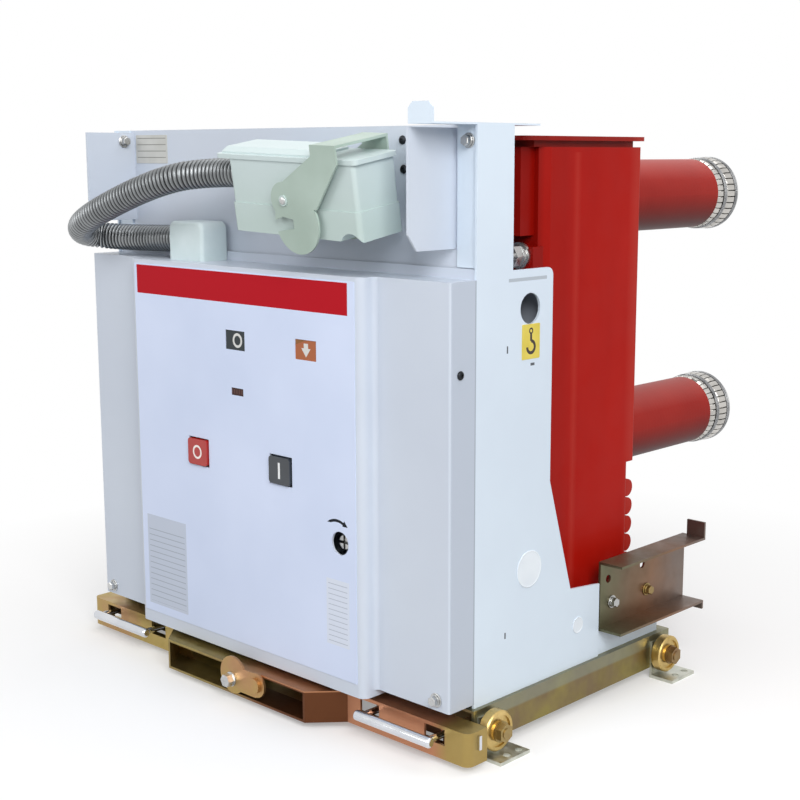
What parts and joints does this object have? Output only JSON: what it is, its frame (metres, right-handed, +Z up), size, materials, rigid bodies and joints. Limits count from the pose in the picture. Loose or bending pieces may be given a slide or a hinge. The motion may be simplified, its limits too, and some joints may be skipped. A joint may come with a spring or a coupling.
{
  "type": "indoor withdrawable vacuum circuit breaker",
  "caption": "Medium-voltage indoor vacuum circuit breaker on a racking truck, with insulated poles, contact arms, push buttons and a control plug on a hose",
  "frame": {"origin": "middle of the base outline on the floor, hose left out", "axes": "+X to the right seen from the operator, +Y back along the contact arms, +Z up"},
  "size_m": [0.716, 0.7302, 0.705],
  "materials": {
    "cover_paint": "satin pale blue-grey powder coat",
    "side_paint": "satin pale blue-grey powder coat",
    "panel_film": "printed film, fine satin",
    "window_dark": "clear cover over dark flag",
    "button_red": "moulded gloss",
    "button_dark": "moulded gloss",
    "epoxy_red": "smooth cast epoxy",
    "sleeve_red": "satin insulating sleeve",
    "silver_contact": "silver plated copper, bright",
    "bolt_steel": "bright zinc",
    "zinc_yellow": "yellow passivated zinc",
    "zinc_grey": "galvanised",
    "wheel_brass": "turned, dull",
    "handle_chrome": "polished",
    "plug_plastic": "moulded pale green",
    "hose_metal": "corrugated steel conduit"
  },
  "bodies": {
    "breaker": {"front_cover": "cover_paint", "control_panel": "panel_film", "indicator_windows": "window_dark", "front_wall": "side_paint", "side_plate_right": "side_paint", "side_plate_left": "side_paint", "top_rail": "side_paint", "top_deck": "side_paint", "back_plate": "side_paint", "base_tray": "side_paint", "roof_guide": "side_paint", "pole_left": "epoxy_red", "pole_middle": "epoxy_red", "pole_right": "epoxy_red", "arms_upper": "sleeve_red", "arms_lower": "sleeve_red", "pole_bolts": "bolt_steel", "rear_channel_right": "zinc_yellow", "rear_channel_left": "zinc_yellow", "truck_rail_right": "zinc_yellow", "truck_rail_left": "zinc_yellow", "truck_front_bar": "zinc_yellow", "truck_rear_bar": "zinc_yellow", "lead_nut": "wheel_brass", "axle_bolts": "bolt_steel", "transport_feet": "zinc_grey", "hose_gland": "plug_plastic", "plug_body": "plug_plastic", "plug_lid": "plug_plastic", "plug_bracket": "side_paint", "hose": "hose_metal", "contact_upper_left": "silver_contact", "contact_upper_middle": "silver_contact", "contact_upper_right": "silver_contact", "contact_lower_left": "silver_contact", "contact_lower_middle": "silver_contact", "contact_lower_right": "silver_contact"},
    "wheel_front_right": {"wheel_front_right": "wheel_brass"},
    "wheel_front_left": {"wheel_front_left": "wheel_brass"},
    "wheel_rear_right": {"wheel_rear_right": "wheel_brass"},
    "wheel_rear_left": {"wheel_rear_left": "wheel_brass"},
    "lever": {"plug_lever": "plug_plastic"},
    "open_button": {"button_open": "button_red"},
    "close_button": {"button_close": "button_dark"},
    "crank": {"crank_socket": "bolt_steel"},
    "beam": {"racking_beam": "zinc_yellow", "beam_hood": "zinc_yellow", "screw_bearing": "zinc_yellow", "beam_guide_arms": "zinc_yellow"},
    "screw": {"lead_screw": "bolt_steel"},
    "grip_right": {"handle_right": "handle_chrome"},
    "grip_left": {"handle_left": "handle_chrome"}
  },
  "joints": [
    {"name": "wheel_front_right_spin", "type": "hinge", "parent": "breaker", "child": "wheel_front_right", "pos_m": [0.3355, -0.24135, 0.031], "axis": [1, 0, 0], "continuous": true},
    {"name": "wheel_front_left_spin", "type": "hinge", "parent": "breaker", "child": "wheel_front_left", "pos_m": [-0.3355, -0.24135, 0.031], "axis": [1, 0, 0], "continuous": true},
    {"name": "wheel_rear_right_spin", "type": "hinge", "parent": "breaker", "child": "wheel_rear_right", "pos_m": [0.3355, 0.08965, 0.031], "axis": [1, 0, 0], "continuous": true},
    {"name": "wheel_rear_left_spin", "type": "hinge", "parent": "breaker", "child": "wheel_rear_left", "pos_m": [-0.3355, 0.08965, 0.031], "axis": [1, 0, 0], "continuous": true},
    {"name": "plug_lever_turn", "type": "hinge", "parent": "breaker", "child": "lever", "pos_m": [0.122, -0.31038, 0.61067], "axis": [0, -0.9848, -0.1736], "range_deg": [0, 80]},
    {"name": "open_push", "type": "slide", "parent": "breaker", "child": "open_button", "axis": [0, 1, 0], "range_m": [0, 0.004], "stiffness_N_per_m": 1500, "springref_m": -0.002},
    {"name": "close_push", "type": "slide", "parent": "breaker", "child": "close_button", "axis": [0, 1, 0], "range_m": [0, 0.004], "stiffness_N_per_m": 1500, "springref_m": -0.002},
    {"name": "crank_turn", "type": "hinge", "parent": "breaker", "child": "crank", "pos_m": [0.173, -0.29835, 0.2264], "axis": [0, 1, 0], "continuous": true},
    {"name": "racking_slide", "type": "slide", "parent": "breaker", "child": "beam", "axis": [0, -1, 0], "range_m": [0, 0.2]},
    {"name": "screw_turn", "type": "hinge", "parent": "beam", "child": "screw", "pos_m": [0, -0.29835, 0.028], "axis": [0, 1, 0], "continuous": true},
    {"name": "grip_right_slide", "type": "slide", "parent": "beam", "child": "grip_right", "axis": [-1, 0, 0], "range_m": [0, 0.012], "stiffness_N_per_m": 800, "springref_m": -0.004},
    {"name": "grip_left_slide", "type": "slide", "parent": "beam", "child": "grip_left", "axis": [1, 0, 0], "range_m": [0, 0.012], "stiffness_N_per_m": 800, "springref_m": -0.004}
  ]
}
